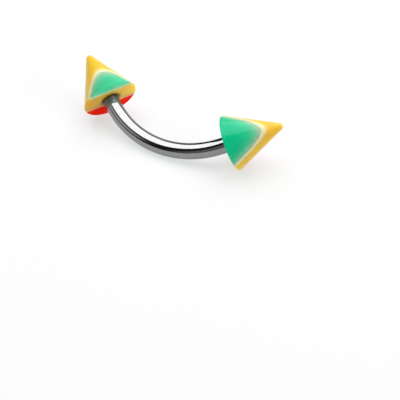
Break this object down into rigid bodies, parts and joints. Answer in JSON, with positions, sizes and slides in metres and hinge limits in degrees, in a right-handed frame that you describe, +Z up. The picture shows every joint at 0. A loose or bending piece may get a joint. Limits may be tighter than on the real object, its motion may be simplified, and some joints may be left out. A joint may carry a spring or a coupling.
{
  "type": "eyebrow barbell",
  "caption": "Curved steel eyebrow barbell with a removable cone of layered green, white, yellow and red acrylic on each end.",
  "frame": {"origin": "on the surface it lies on, under the centre of its bounding box", "axes": "+X from the left cone to the right cone, +Y towards the open side of the bend, +Z up from the surface"},
  "size_m": [0.0168, 0.0042, 0.0038],
  "materials": {
    "polished_steel": "mirror polished",
    "green_acrylic": "glossy, slightly translucent",
    "yellow_acrylic": "glossy, slightly translucent",
    "red_acrylic": "glossy, slightly translucent",
    "white_acrylic": "glossy, slightly translucent"
  },
  "bodies": {
    "bar": {"curved_bar": "polished_steel"},
    "left_cone": {"left_green_layer": "green_acrylic", "left_green_side_sheet": "white_acrylic", "left_yellow_layer": "yellow_acrylic", "left_red_side_sheet": "white_acrylic", "left_red_layer": "red_acrylic"},
    "right_cone": {"right_green_layer": "green_acrylic", "right_green_side_sheet": "white_acrylic", "right_yellow_layer": "yellow_acrylic", "right_red_side_sheet": "white_acrylic", "right_red_layer": "red_acrylic"}
  },
  "joints": [
    {"name": "left_cone_off", "type": "slide", "parent": "bar", "child": "left_cone", "axis": [-0.788, 0.4716, 0.3957], "range_m": [0, 0.0022]},
    {"name": "right_cone_off", "type": "slide", "parent": "bar", "child": "right_cone", "axis": [0.788, 0.4716, 0.3957], "range_m": [0, 0.0022]}
  ]
}
